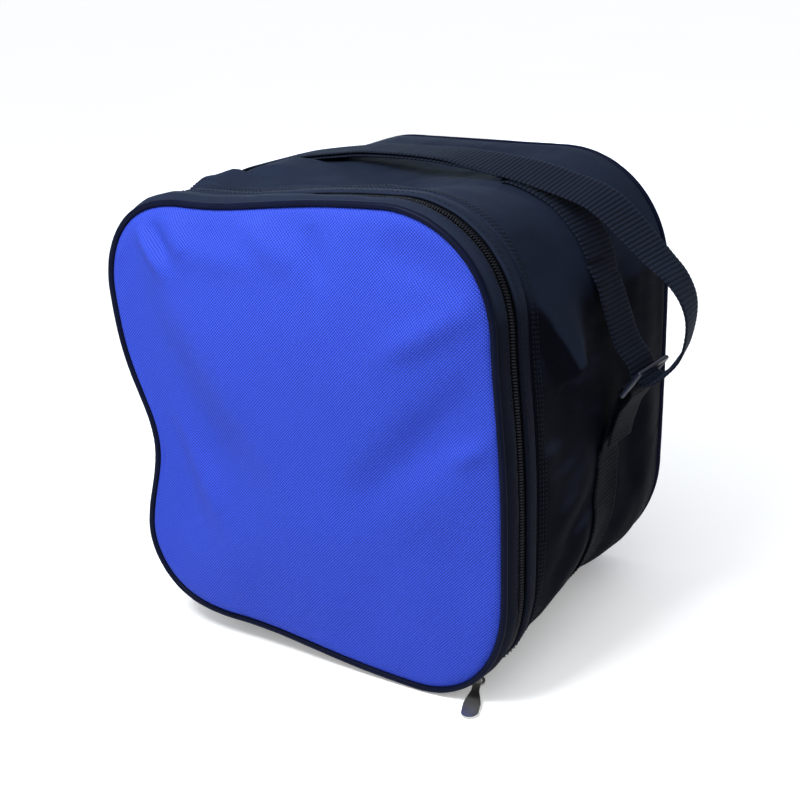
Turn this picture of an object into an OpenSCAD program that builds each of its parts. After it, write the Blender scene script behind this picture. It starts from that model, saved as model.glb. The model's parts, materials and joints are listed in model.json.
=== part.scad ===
// Soft ball bag: a rounded-square blue front that opens on a zip, a black body,
// and a doubled webbing carrying strap held by a ring on each side.
// Millimetres. +Z is up, the blue front faces -Y, the bag stands on z = 0.

/* [Bag] */
// outside width of the bag at its front piping
bag_width = 272; // [240:300]
// outside height of the bag
bag_height = 288; // [250:320]
// depth from the front piping to the back piping
bag_depth = 227; // [222:240]
// corner radius of the front outline
front_radius = 69; // [60:75]
// corner radius of the body behind the zip
body_radius = 78; // [69:82]
// how far the left side of the front is drawn in at its waist
left_waist = 18; // [0:20]
// how far the top edge of the front sags
top_sag = 5; // [0:8]

/* [Cloth] */
// thickness of the padded body wall
wall = 2.6; // [1.5:0.1:4]
// thickness of a single layer of black fabric
cloth = 1.5; // [1:0.1:2]
// diameter of the corded piping
piping = 4; // [3:0.5:5]

/* [Zip] */
// distance of the zip's centre line behind the front
zip_line = 20; // [18:24]
// width of one row of zip coil
coil_width = 2.1; // [1.5:0.1:3]
// height of the coil above its tape
coil_height = 1.6; // [1:0.1:2]
// angle on the lower right corner where the closed slider stands
slider_angle = 62; // [58:66]

/* [Webbing] */
// width of the webbing
web_width = 32; // [25:38]
// thickness of the webbing
web_thick = 1.6; // [1.2:0.1:2.2]
// distance of the webbing's centre line behind the front
web_line = 131; // [120:140]
// wire thickness of the strap rings
ring_wire = 3; // [2.5:0.5:4]

/* [Hidden] */

$fn = 48;
hw = bag_width / 2;
hh = bag_height;
y_shift = -107.15;

fr = front_radius;
br = body_radius;
corner_x = hw - fr;
coil_top = 0.4;
tape_out = coil_top + coil_height;
tape_in = tape_out + 0.7;
zip_gap = 0.5;
lid_end = 52;
strip_end = 78;

black = [0.03, 0.03, 0.035];
blue = [0.10, 0.16, 0.75];
metal = [0.75, 0.76, 0.78];

// ---------- outline of the bag seen from the front ----------

// points of an arc from angle a to angle b
function arc_pts(cx, cz, r, a, b, n) =
  [for (i = [0:n]) let (t = a + (b - a) * i / n) [cx + r * cos(t), cz + r * sin(t)]];

// a smooth dip that is 0 at both ends and 1 at its deepest point
function dip(t, k) = pow(sin(180 * pow(t, k)), 2);

// The outline from the lower right corner over the top to the lower left corner.
// d is the inset, s scales the dips, r is the corner radius, n the steps in a quarter
// turn. It starts at angle e on the right corner and ends at angle f on the left one.
function u_path(d, s, r, e, n, f) = concat(
  arc_pts(hw - r, r, r - d, -e, 0, n),
  [for (i = [1:7]) [hw - d, r + (hh - 2 * r) * i / 8]],
  arc_pts(hw - r, hh - r, r - d, 0, 90, n),
  [for (i = [1:11]) let (t = i / 12)
    [(hw - r) * (1 - 2 * t), hh - d - top_sag * s * dip(1 - t, 0.7)]],
  arc_pts(r - hw, hh - r, r - d, 90, 180, n),
  [for (i = [1:15]) let (t = i / 16)
    [-hw + d + left_waist * s * dip(1 - t, 0.7), hh - r - (hh - 2 * r) * t]],
  arc_pts(r - hw, r, r - d, 180, 180 + (f == undef ? e : f), n));

function flip(v) = [for (i = [len(v) - 1:-1:0]) v[i]];

// flat closed outline of the front, inset by d
module outline(d) {
  polygon(u_path(d, 1, fr, 90, 16));
}

// flat strip that follows the front outline between two insets
module strip(outer, inner, e, f) {
  polygon(concat(u_path(outer, 1, fr, e, 16, f), flip(u_path(inner, 1, fr, e, 16, f))));
}

// stands a flat shape up in the XZ plane, from y0 to y1
module stand(y0, y1) {
  translate([0, y1, 0])
    rotate([90, 0, 0])
      linear_extrude(height = y1 - y0)
        children();
}

// flat strip along the bottom, from one lower corner to the other
module low_strip(outer, inner, e) {
  polygon(concat(
    arc_pts(fr - hw, fr, fr - outer, 270 - (90 - e), 270, 10),
    arc_pts(hw - fr, fr, fr - outer, -90, -e, 10),
    arc_pts(hw - fr, fr, fr - inner, -e, -90, 10),
    arc_pts(fr - hw, fr, fr - inner, 270, 270 - (90 - e), 10)));
}

// ---------- lofted shell of the body ----------

// how much of the front's dips is left at depth y
function dips_at(y) = y < 39 ? 1 : y > 118 ? 0 : 0.5 + 0.5 * cos(180 * (y - 39) / 79);
function radius_at(y) = br + (fr - br) * dips_at(y);

// open U-shaped shell between two insets, following the body from y0 to y1
module shell(y0, y1, outer, inner) {
  ys = [y0, y0 + 20, y0 + 40, y0 + 60, 118, y1];
  rings = [for (y = ys) for (q = [outer, inner])
    [for (p = u_path(q, dips_at(y), radius_at(y), 90, 8)) [p[0], y, p[1]]]];
  n = len(rings[0]);
  m = len(ys);
  pts = [for (r = rings) for (p = r) p];
  faces = concat(
    [for (k = [0:m - 2]) for (j = [0:n - 2]) let (a = k * 2 * n + j, c = a + 2 * n)
      [a, a + 1, c + 1]],
    [for (k = [0:m - 2]) for (j = [0:n - 2]) let (a = k * 2 * n + j, c = a + 2 * n)
      [a, c + 1, c]],
    [for (k = [0:m - 2]) for (j = [0:n - 2]) let (a = k * 2 * n + n + j, c = a + 2 * n)
      [a, c + 1, a + 1]],
    [for (k = [0:m - 2]) for (j = [0:n - 2]) let (a = k * 2 * n + n + j, c = a + 2 * n)
      [a, c, c + 1]],
    [for (j = [0:n - 2]) [j, n + j, n + j + 1]],
    [for (j = [0:n - 2]) [j, n + j + 1, j + 1]],
    [for (j = [0:n - 2]) let (o = (m - 1) * 2 * n) [o + j, o + n + j + 1, o + n + j]],
    [for (j = [0:n - 2]) let (o = (m - 1) * 2 * n) [o + j, o + j + 1, o + n + j + 1]],
    [for (k = [0:m - 2]) let (o = k * 2 * n) [o, o + 2 * n, o + 3 * n]],
    [for (k = [0:m - 2]) let (o = k * 2 * n) [o, o + 3 * n, o + n]],
    [for (k = [0:m - 2]) let (o = k * 2 * n + n - 1) [o, o + 3 * n, o + 2 * n]],
    [for (k = [0:m - 2]) let (o = k * 2 * n + n - 1) [o, o + n, o + 3 * n]]);
  polyhedron(points = pts, faces = faces);
}

// flat closed outline of the body behind the dips, inset by d
module body_outline(d) {
  polygon(u_path(d, 0, br, 90, 12));
}

// ---------- webbing ----------

// smooth curve through points
function bend(a, b, c, d, t) = 0.5 * (2 * b + (c - a) * t
  + (2 * a - 5 * b + 4 * c - d) * t * t + (3 * b - a - 3 * c + d) * t * t * t);
function smooth(p, n) = concat(
  [for (i = [0:len(p) - 2]) for (j = [0:n - 1])
    bend(p[max(i - 1, 0)], p[i], p[i + 1], p[min(i + 2, len(p) - 1)], j / n)],
  [p[len(p) - 1]]);

// flat ribbon of even thickness along a path
function unit(v) = v / norm(v);
function side(p, i) = let (a = unit(p[min(i + 1, len(p) - 1)] - p[i == len(p) - 1 ? i - 1 : i]),
  b = unit(p[i == 0 ? 1 : i] - p[max(i - 1, 0)]), s = unit(a + b),
  c = max(0.5, s * a)) [-s[1], s[0]] / c;
module ribbon(p) {
  h = web_thick / 2;
  polygon(concat([for (i = [0:len(p) - 1]) p[i] + h * side(p, i)],
    flip([for (i = [0:len(p) - 1]) p[i] - h * side(p, i)])));
}
module web(p) {
  stand(web_line - web_width / 2, web_line + web_width / 2) ribbon(p);
}
function mirrored(v) = [for (p = v) [-p[0], p[1]]];

// bars of the right-hand ring: low bar in the side webbing, high bar in the strap
low_bar = [153, 163];
high_bar = [164.5, 178];

// place on the left where the strap passes through its slide
slide_at = [-160.5, 249];
slide_t = unit([-11.5, -12.5]);
slide_n = [slide_t[1], -slide_t[0]];
function on_slide(u, w) = slide_at + u * slide_t + w * slide_n;

// outer layer on the right, from the middle of the top down to the ring
outer_right = [[0, 295.5], [28, 295], [47, 293.2], [67, 291.4], [87, 288.3], [106, 283.5],
  [126, 276.5], [139.5, 268.3], [154.5, 255], [166, 242.5], [175, 231.5], [181, 220],
  [182.3, 207], [179.4, 191], [174.6, 179.5], [169.4, 172.2], [163.6, 169.6],
  [158.8, 173]];

// inner layer on the right, from the ring up along the body and over the top
inner_right = concat([[155.6, 180.5], [147.4, 191.3], [141.5, 207], [138, 225]],
  [for (a = [26:8:90]) [hw - br + (br + 1.6) * cos(a), hh - br + (br + 1.6) * sin(a)]]);

// ---------- parts of the opening front ----------

module front_panel() {
  color(blue) stand(0.8, 2.0) outline(piping + 0.2);
}
module lid_padding() {
  color([0.25, 0.25, 0.26]) stand(2.2, 4.2) outline(piping + 1);
}
module lid_lining() {
  color(black) stand(4.4, 5.0) outline(piping + 1);
}
module front_piping() {
  color(black) stand(0, piping) difference() {
    outline(0);
    outline(piping);
  }
}
module front_band() {
  color(black) stand(piping + 0.1, 14.5) strip(0.3, 0.3 + cloth, lid_end);
}
module zip_tape_lid() {
  color(black) stand(12.5, zip_line - zip_gap) strip(tape_out, tape_in, lid_end);
}
module zip_coil_lid() {
  color([0.06, 0.06, 0.065])
    stand(zip_line - zip_gap - coil_width, zip_line - zip_gap)
      strip(coil_top, tape_out, lid_end, 48);
}

// piece of the slider or zip that is curved about the lower right corner
module arc_block(r0, r1, y0, y1, a0, a1) {
  translate([corner_x, 0, fr])
    rotate([90, 0, 0])
      rotate([0, 0, a0])
        rotate_extrude(angle = a1 - a0, $fn = 96)
          translate([r0, -y1])
            square([r1 - r0, y1 - y0]);
}
module left_arc_block(r0, r1, y0, y1, a0, a1) {
  mirror([1, 0, 0]) arc_block(r0, r1, y0, y1, a0, a1);
}

module zip_stop_lid() {
  color(metal)
    left_arc_block(fr - tape_out + 0.1, fr - 0.1, zip_line - 2.8, zip_line - zip_gap, -50.6, -48.8);
}
module zip_stop_body() {
  color(metal)
    left_arc_block(fr - tape_out + 0.1, fr - 0.1, zip_line + zip_gap, zip_line + 2.8, -50.6, -48.8);
}

// ---------- zip on the body ----------

module zip_tape_body() {
  color(black) stand(zip_line + zip_gap, 28) strip(tape_out, tape_in, strip_end - 1);
}
module zip_coil_body() {
  color([0.06, 0.06, 0.065])
    stand(zip_line + zip_gap, zip_line + zip_gap + coil_width)
      strip(coil_top, tape_out, 74, 48);
}
module zip_end_tapes() {
  color(black) {
    arc_block(fr - tape_in, fr - tape_out, 12.5, zip_line - zip_gap, -77, -53.4);
    arc_block(fr - tape_out - 0.1, fr - coil_top, zip_line - zip_gap - coil_width,
      zip_line - zip_gap, -74, -53.4);
  }
}
module zip_bottom_stop() {
  color(metal) difference() {
    arc_block(fr - tape_out + 0.1, fr + 0.1, zip_line - 3.4, zip_line + 3.4, -76.4, -74.4);
    arc_block(fr - tape_out - 1, fr - tape_out + 0.6, zip_line - 2, zip_line + 2, -78, -73);
  }
}

// ---------- slider and pull ----------

// The slider: an outer and an inner plate joined by a thin post between the coils,
// turned-in rims along both sides, and a raised bridge for the pull.
module zip_slider() {
  c = -slider_angle;
  color(metal) {
    arc_block(fr + 0.2, fr + 1.6, zip_line - 5, zip_line + 5, c - 2.6, c + 5);
    arc_block(fr + 0.25, fr + 1.55, zip_line - 4, zip_line + 4, c - 5, c - 2.4);
    arc_block(fr - 1.5, fr + 0.9, zip_line - 4.95, zip_line - 4.2, c - 2.55, c + 4.95);
    arc_block(fr - 1.5, fr + 0.9, zip_line + 4.2, zip_line + 4.95, c - 2.55, c + 4.95);
    arc_block(fr - 4.4, fr - 3.1, zip_line - 5, zip_line + 5, c - 2.6, c + 5);
    arc_block(fr - 4.35, fr - 3.15, zip_line - 4, zip_line + 4, c - 5, c - 2.4);
    arc_block(fr - 3.6, fr + 0.9, zip_line - 0.2, zip_line + 0.2, c - 1, c + 4);
    arc_block(fr + 4.6, fr + 6, zip_line - 1, zip_line + 1, c - 3.8, c + 3.8);
    arc_block(fr + 0.9, fr + 5.2, zip_line - 0.95, zip_line + 0.95, c + 2.75, c + 3.75);
    arc_block(fr + 0.9, fr + 5.2, zip_line - 0.95, zip_line + 0.95, c - 3.75, c - 2.75);
  }
}

// The pull: a round eye through the bridge, a narrow neck and an oval tab.
module zip_pull() {
  color(metal)
    translate([104.4, zip_line, 5.3])
      rotate([0, 7.5, -68.2])
        translate([0, 0, -0.6]) {
          difference() {
            union() {
              cylinder(r = 4.5, h = 1.2);
              translate([0, -2.4, 0]) cube([20, 4.8, 1.2]);
            }
            translate([0, 0, -1]) cylinder(r = 2.9, h = 4);
          }
          linear_extrude(height = 1.2)
            polygon([[10, -2.4], [17, -4.2], [22, -5.2], [29.8, -5.2], [29.8, 5.2],
              [22, 5.2], [17, 4.2], [10, 2.4]]);
          translate([29.8, 0, 0]) cylinder(r = 5.2, h = 1.2);
        }
}

// ---------- body ----------

module hinge_strip() {
  color(black) {
    stand(piping + 0.3, 14.5) low_strip(0.3, 0.3 + cloth, 53.2);
    stand(14.4, 38) low_strip(0.3, 0.3 + cloth, strip_end + 1);
  }
}
module body_band() {
  color(black) stand(25.5, 38) strip(0.3, 0.3 + cloth, strip_end);
}
module body_gusset() {
  color(black) shell(38.4, 222.6, 0.3, 0.3 + wall);
}
module bottom_panel() {
  edge = [for (y = [38.3, 46, 54, 62, 70, 78, 86, 94, 102, 110, 118, 222.6])
    [hw - radius_at(y) - 0.5, y]];
  color(black)
    linear_extrude(height = wall)
      polygon(concat(edge, [for (i = [len(edge) - 1:-1:0]) [-edge[i][0], edge[i][1]]]));
}
module back_panel() {
  color(black) stand(224, 225.6) body_outline(piping + 0.2);
}
module back_piping() {
  color(black) stand(bag_depth - piping, bag_depth) difference() {
    body_outline(0);
    body_outline(piping);
  }
}
module body_lining() {
  color([0.08, 0.08, 0.085]) shell(39, 222, wall + 0.7, wall + 1.3);
}
module back_lining() {
  color([0.08, 0.08, 0.085]) stand(222.9, 223.6) body_outline(piping + 0.6);
}
module base_board() {
  color([0.12, 0.12, 0.12])
    translate([-57, 44, wall + 0.4]) cube([114, 174, 2.6]);
}
module ball_cup() {
  color([0.3, 0.3, 0.31])
    translate([0, 114, 0])
      difference() {
        translate([0, 0, wall + 3.2]) cylinder(r = 55, h = 22, $fn = 96);
        translate([0, 0, 124.2]) sphere(r = 109, $fn = 144);
        translate([0, 0, -1]) cylinder(r = 27, h = 40, $fn = 96);
      }
}

// ---------- carrying webbing and rings ----------

side_path = concat(
  [for (a = [-76:8:-4]) [hw - br + (br + 1.2) * cos(a), br + (br + 1.2) * sin(a)]],
  [[hw + 1.2, 92], [hw + 1.2, 112], [hw + 1.4, 128], [138.8, 141], [142.6, 151],
    [147.2, 158.6], [149.6, 163.5], [151.4, 166.2], [154.3, 166.6], [156.6, 164.6],
    [156.4, 161.2], [153, 156], [147.5, 148.5], [143.2, 140], [140.9, 130],
    [139.4, 120], [139.3, 108]]);

module side_webbing_right() {
  color(black) web(smooth(side_path, 3));
}
module side_webbing_left() {
  color(black) mirror([1, 0, 0]) web(smooth(side_path, 3));
}

// rectangular wire ring around both turned ends of the webbing
module ring_shape() {
  half = web_width / 2 + 2.6;
  for (b = [low_bar, high_bar]) {
    translate([b[0], web_line - half, b[1]])
      rotate([-90, 0, 0]) cylinder(d = ring_wire, h = 2 * half);
    for (y = [web_line - half, web_line + half])
      translate([b[0], y, b[1]]) sphere(d = ring_wire);
  }
  d = high_bar - low_bar;
  for (y = [web_line - half, web_line + half])
    translate([low_bar[0], y, low_bar[1]])
      rotate([0, 90 - atan2(d[1], d[0]), 0])
        cylinder(d = ring_wire, h = norm(d));
}
module ring_right() {
  color([0.10, 0.11, 0.14]) ring_shape();
}
module ring_left() {
  color([0.10, 0.11, 0.14]) mirror([1, 0, 0]) ring_shape();
}

// The strap: one length of webbing. It starts sewn round the middle bar of its slide,
// runs over the top and down to the right ring, turns there, comes back over the top as
// the outer layer, passes through the slide and is turned and sewn round the left ring.
module handle_strap() {
  right_turn = smooth(concat(outer_right, inner_right), 3);
  outer_left = concat(
    smooth(mirrored([for (i = [0:7]) outer_right[i]]), 3),
    [on_slide(-17, -2.4), on_slide(-11.5, -2.4), on_slide(-4.8, 4.6), on_slide(4.8, 4.6),
      on_slide(11.5, -2.4), on_slide(16, -2.4)]);
  left_turn = smooth(concat([on_slide(16, -2.4)],
    mirrored([[179.6, 222], [182.3, 207], [179.4, 191], [174.6, 179.5], [169.4, 172.2],
      [163.6, 169.6], [158.6, 173.4], [158.4, 180], [163, 185.4], [170.4, 187.6],
      [176.2, 194.4], [179.6, 207], [177.6, 216]])), 3);
  inner_left = smooth(concat(
    [[hw - br, hh + 1.6], [0, hh + 2.4], [-40, hh + 2.2]],
    mirrored([[67, 289], [87, 285.9], [105.4, 281.2], [125, 274.4], [138.2, 266.3]]),
    [on_slide(-14, -4.5), on_slide(-6, -4.5)]), 3);
  wrap = [on_slide(-6.2, -4.5), on_slide(-3.2, -4.2), on_slide(-2.7, -2), on_slide(-2.7, 1.2),
    on_slide(-1.4, 2.4), on_slide(1.4, 2.4), on_slide(2.7, 1.2), on_slide(2.7, -4.4),
    on_slide(1, -6.4), on_slide(-12, -6.4), on_slide(-20, -6.2)];
  color(black) {
    web(right_turn);
    web(outer_left);
    web(left_turn);
    web(inner_left);
    web(wrap);
  }
}

// flat slide with a middle bar and two slots
module strap_slide() {
  color([0.04, 0.04, 0.045])
    translate([slide_at[0], web_line, slide_at[1]])
      rotate([0, -atan2(slide_t[1], slide_t[0]), 0])
        translate([0, 0, -1.2])
          linear_extrude(height = 2.4)
            difference() {
              square([30, web_width + 9.4], center = true);
              for (u = [-6.75, 6.75])
                translate([u, 0]) square([10.5, web_width + 2.4], center = true);
            }
}

translate([0, y_shift, 0]) {
  front_panel();
  lid_padding();
  lid_lining();
  front_piping();
  front_band();
  zip_tape_lid();
  zip_coil_lid();
  zip_stop_lid();
  zip_tape_body();
  zip_coil_body();
  zip_stop_body();
  zip_end_tapes();
  zip_bottom_stop();
  zip_slider();
  zip_pull();
  hinge_strip();
  body_band();
  body_gusset();
  bottom_panel();
  back_panel();
  back_piping();
  body_lining();
  back_lining();
  base_board();
  ball_cup();
  side_webbing_right();
  side_webbing_left();
  ring_right();
  ring_left();
  handle_strap();
  strap_slide();
}
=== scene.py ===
"""Looks of the soft ball bag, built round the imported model.

Shapes are worked out in millimetres in the bag's own frame: x to the right, y back
from the front piping, z up from the floor. place() turns them into the row frame.
"""

import json
import math

import bmesh
import bpy
import numpy as np
from mathutils import Matrix, Vector


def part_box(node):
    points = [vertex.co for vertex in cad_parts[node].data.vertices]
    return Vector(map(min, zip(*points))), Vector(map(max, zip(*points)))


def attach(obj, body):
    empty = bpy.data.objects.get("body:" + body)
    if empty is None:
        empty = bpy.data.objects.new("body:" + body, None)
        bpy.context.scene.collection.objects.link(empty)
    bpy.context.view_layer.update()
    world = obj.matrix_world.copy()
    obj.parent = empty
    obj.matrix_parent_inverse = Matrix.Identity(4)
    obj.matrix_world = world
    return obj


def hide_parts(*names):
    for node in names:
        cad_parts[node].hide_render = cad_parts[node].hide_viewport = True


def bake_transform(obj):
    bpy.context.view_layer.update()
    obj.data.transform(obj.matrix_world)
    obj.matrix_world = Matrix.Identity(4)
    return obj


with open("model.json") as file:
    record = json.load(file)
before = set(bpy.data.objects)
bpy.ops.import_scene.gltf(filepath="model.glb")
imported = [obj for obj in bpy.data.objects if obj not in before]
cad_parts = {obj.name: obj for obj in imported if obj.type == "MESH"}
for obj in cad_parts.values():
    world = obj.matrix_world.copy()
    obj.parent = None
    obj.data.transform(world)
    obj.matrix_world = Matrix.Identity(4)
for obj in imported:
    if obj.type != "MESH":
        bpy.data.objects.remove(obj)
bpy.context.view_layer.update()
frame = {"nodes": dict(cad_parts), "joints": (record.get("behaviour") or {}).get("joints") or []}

JOINTS = {j["name"]: j for j in frame["joints"]}

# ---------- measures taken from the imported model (millimetres) ----------

PIPING_LO, PIPING_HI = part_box("front_piping")
Y_FRONT = PIPING_LO.y
HALF_W = PIPING_HI.x * 1000
HEIGHT = PIPING_HI.z * 1000
PIPING = (PIPING_HI.y - PIPING_LO.y) * 1000
DEPTH = (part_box("back_piping")[1].y - Y_FRONT) * 1000
FRONT_R = JOINTS["zip_run"]["pos_m"][2] * 1000
WEB_LO, WEB_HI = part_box("side_webbing_right")
WEB_Y = ((WEB_LO.y + WEB_HI.y) / 2 - Y_FRONT) * 1000
WEB_W = (WEB_HI.y - WEB_LO.y) * 1000
# where the slider rests on its corner, counted from straight right
SLIDER_AT = math.radians(-62)
SLIDER = np.array([
    HALF_W - FRONT_R + FRONT_R * math.cos(SLIDER_AT),
    FRONT_R + FRONT_R * math.sin(SLIDER_AT),
])
LID, BAG, HANDLE = "lid", "bag", "handle"

# ---------- measures chosen here (millimetres) ----------

# corner radius at the front, half way back and at the back
PLAIN_R, MID_R, BACK_R = 69.0, 80.0, 78.0
# depths of the seams at the two ends of the body cloth
SEAM_Y, BACK_SEAM_Y = 38.0, 223.5
# thickness of the webbing, and the spacing of its ribs
THICK, RIB = 1.6, 2.9


def place(points):
    """Millimetres in the bag's own frame to metres in the row frame."""
    p = np.array(points, float) / 1000
    p[..., 1] += Y_FRONT
    return p


def ease(t):
    """0 below 0, 1 above 1, smooth between them."""
    t = np.clip(t, 0, 1)
    return t * t * (3 - 2 * t)


def fall(y, a, b):
    """1 before a, 0 after b, smooth between them."""
    return 1 - ease((np.asarray(y, float) - a) / (b - a))


def running(steps):
    """Distance from the start after each step, with 0 first."""
    return np.concatenate([[0], np.cumsum(steps)])


def rows_at(q, s, v):
    """Rows of v at the distances q, where s is the distance of each row."""
    return np.stack([np.interp(q, s, column) for column in v.T], -1)


def full_turn(n):
    """n angles evenly spaced round a circle."""
    return np.linspace(0, 2 * math.pi, n, endpoint=False)


# ---------- outline of the bag at any depth ----------
#
# u runs round the outline from the middle of the bottom: 0-1 bottom right half,
# 1-2 lower right corner, 2-3 right side, 3-4 upper right corner, 4-5 top,
# 5-6 upper left corner, 6-7 left side, 7-8 lower left corner, 8-9 bottom left half.

U_CORNER = {"br": 1, "tr": 3, "tl": 5, "bl": 7}


def u_at(corner, degrees):
    """u of a point on a corner; degrees are counted from where the corner starts."""
    return U_CORNER[corner] + degrees / 90


def plain_outline(u, y):
    """Rounded square at depth y, without any sag."""
    u = np.mod(u, 9)
    r = corner_radius(u, y)
    w, h = HALF_W - r, HEIGHT - r
    k = np.floor(u).astype(int)
    t = u - k
    a = np.radians([0, -90, 0, 0, 0, 90, 0, 180, 0])[k] + t * math.pi / 2
    ca, sa = np.cos(a) * r, np.sin(a) * r
    x = np.choose(k, [w * t, w + ca, HALF_W + 0 * t, w + ca, w * (1 - 2 * t),
                      -w + ca, -HALF_W + 0 * t, -w + ca, -w * (1 - t)])
    z = np.choose(k, [0 * t, r + sa, r + (h - r) * t, h + sa, HEIGHT + 0 * t,
                      h + sa, h - (h - r) * t, r + sa, 0 * t])
    return x, z


def bump(s, at, width):
    """1 at one place, falling off smoothly over width."""
    return np.exp(-(((s - at) / width) ** 2))


def sag(u, x, z, y):
    """How far the soft outline is pulled from the plain one at depth y."""
    sx, sz = x / HALF_W, 2 * z / HEIGHT - 1
    right, up = (sx + 1) / 2, (sz + 1) / 2
    front = fall(y, 40, 150)
    back = ease((y - 60) / 120)
    mid = ease((y - SEAM_Y) / 50) * fall(y, 175, 226)
    away = np.hypot(x - SLIDER[0], z - SLIDER[1])
    # the zip and its slider stay where they are, while the piping in front may move
    free = 1 - (1 - ease((away - 14) / 30)) * ease((y - 3) / 12)
    front = front * free
    dx = front * ((1 - right) * (1 - up) * 6.4 + right * (1 - up) * 5.4
                  - (1 - right) * up * 10.6 - right * up * 1.6)
    dz = front * ((1 - right) * (1 - up) * 0.6 - right * (1 - up) * 0.7
                  + (1 - right) * up * 1.5 + right * up * 5.0)
    dx = dx + front * 18.3 * bump(sz, -0.13, 0.30) * np.clip(-sx, 0, 1) ** 4
    dx = dx - front * 4.1 * bump(sz, -0.72, 0.46) * np.clip(sx, 0, 1) ** 4
    dx = dx - front * 2.4 * bump(sz, 0.48, 0.32) * np.clip(sx, 0, 1) ** 4
    dz = dz - front * 8.4 * bump(sx, -0.42, 0.47) * np.clip(sz, 0, 1) ** 4
    low = fall(y, 8, 42) * free
    dz = dz + low * 13.2 * bump(sx, -0.49, 0.60) * np.clip(-sz, 0, 1) ** 4
    # the top hangs between the corners behind the zip, but lies up against the strap
    # on the left
    held = 0.85 * ease((20 - x) / 60) * ease((y - 48) / 30)
    dz = dz - mid * (1 - held) * 7.5 * np.clip(sz, 0, 1) ** 6 * (1 - 0.55 * np.abs(sx) ** 3)
    dx = dx - mid * 3.0 * np.sign(sx) * np.abs(sx) ** 4 * bump(sz, 0.45, 0.45)
    # the lower right edge is drawn in, most of all under the webbing
    low_right = bump(np.mod(u, 9), 1.5, 0.75)
    drawn = ease((y - 20) / 36) * (3.2 + 6.5 * bump(y, 134, 26))
    dx = dx - drawn * 0.75 * low_right
    dz = dz + drawn * 0.65 * low_right
    # the back is a little narrower, most of all at the floor
    dx = dx - back * 3.5 * right * (1 - up) ** 1.5 * np.clip(sx, 0, 1) ** 2
    dx = dx + back * 6.0 * (1 - right) * (1 - up) ** 1.5 * np.clip(-sx, 0, 1) ** 2
    dx = dx + back * 1.0 * right * up * np.clip(sx, 0, 1)
    dx = dx - 4.5 * ease((y - 185) / 35) * np.clip(sx, 0, 1) ** 3
    dz = np.where(z + dz < 0, -z, dz)
    return dx, dz


def corner_radius(u, y):
    """Corner radius at depth y: the front's lower right corner is the tightest one."""
    y = np.asarray(y, float)
    front = np.where(np.abs(np.mod(u, 9) - 1.5) < 1, FRONT_R, PLAIN_R)
    front = front + (MID_R - front) * ease((y - SEAM_Y) / 80)
    return front + (BACK_R - MID_R) * ease((y - 130) / 80)


def outline_xz(u, y):
    """x and z of the soft outline at depth y."""
    u, y = np.broadcast_arrays(np.asarray(u, float), np.asarray(y, float))
    x, z = plain_outline(u, y)
    dx, dz = sag(u, x, z, y)
    return x + dx, z + dz


def outline(u, y, inset=0.0):
    """Points (x, y, z) of the soft outline at depth y, moved in by inset, and the
    outward directions there."""
    u, y, inset = np.broadcast_arrays(np.asarray(u, float), np.asarray(y, float),
                                      np.asarray(inset, float))
    x, z = outline_xz(u, y)
    xa, za = outline_xz(u - 0.02, y)
    xb, zb = outline_xz(u + 0.02, y)
    tx, tz = xb - xa, zb - za
    n = np.hypot(tx, tz)
    nx, nz = tz / n, -tx / n
    p = np.stack([x - inset * nx, y, z - inset * nz], -1)
    return p, np.stack([nx, 0 * nx, nz], -1)


def even_u(u0, u1, step, y=10.0):
    """Values of u from u0 to u1, evenly spaced along the outline at depth y."""
    u = np.linspace(u0, u1, 4001)
    x, z = outline_xz(u, y)
    s = running(np.hypot(np.diff(x), np.diff(z)))
    n = max(2, int(round(s[-1] / step)) + 1)
    return np.interp(np.linspace(0, s[-1], n), s, u)


def arc_length(u, y=10.0):
    """Distance along the outline from the middle of the bottom, in millimetres."""
    grid = np.linspace(0, 9, 9001)
    x, z = outline_xz(grid, y)
    s = running(np.hypot(np.diff(x), np.diff(z)))
    return np.interp(np.mod(u, 9) + 9 * (u >= 9), grid, s)


# ---------- smooth noise without any outside file ----------

RNG = np.random.default_rng(7)
LATTICE = RNG.uniform(-1, 1, (64, 64))


def noise2(a, b):
    """Smooth noise between -1 and 1 on a plane; one lattice cell is one unit."""
    ia, ib = np.floor(a).astype(int), np.floor(b).astype(int)
    fa, fb = ease(a - ia), ease(b - ib)

    def g(i, j):
        return LATTICE[np.mod(i, 64), np.mod(j, 64)]

    low = g(ia, ib) * (1 - fa) + g(ia + 1, ib) * fa
    high = g(ia, ib + 1) * (1 - fa) + g(ia + 1, ib + 1) * fa
    return low * (1 - fb) + high * fb


def crease(p, q, a, b, width):
    """1 on the line from a to b, falling off over width; fades towards both ends."""
    a, b = np.array(a, float), np.array(b, float)
    d = b - a
    t = ((p - a[0]) * d[0] + (q - a[1]) * d[1]) / (d @ d)
    c = np.clip(t, 0, 1)
    away = np.hypot(p - a[0] - c * d[0], q - a[1] - c * d[1])
    return bump(away, 0, width) * (0.25 + 0.75 * np.sin(math.pi * c) ** 0.7)


def creases(p, q, rows):
    """Sum of creases; each row is height, start, end and width."""
    return sum(high * crease(p, q, a, b, width) for high, a, b, width in rows)


def unit(v):
    """Vectors in rows, scaled to length 1."""
    return v / np.linalg.norm(v, axis=1, keepdims=True)


def step(p, q, a, b, width):
    """1 on the right of the line from a to b, 0 on its left, fading out beyond its ends."""
    a, b = np.array(a, float), np.array(b, float)
    d = (b - a) / np.hypot(*(b - a))
    along = ((p - a[0]) * d[0] + (q - a[1]) * d[1]) / np.hypot(*(b - a))
    aside = (p - a[0]) * d[1] - (q - a[1]) * d[0]
    ends = ease((along + 0.3) / 0.3) * (1 - ease((along - 0.8) / 0.5))
    return ends * ease(0.5 + aside / width)


# ---------- mesh building ----------


def linked(name, data):
    """A new object, in the scene."""
    obj = bpy.data.objects.new(name, data)
    bpy.context.scene.collection.objects.link(obj)
    return obj


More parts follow.
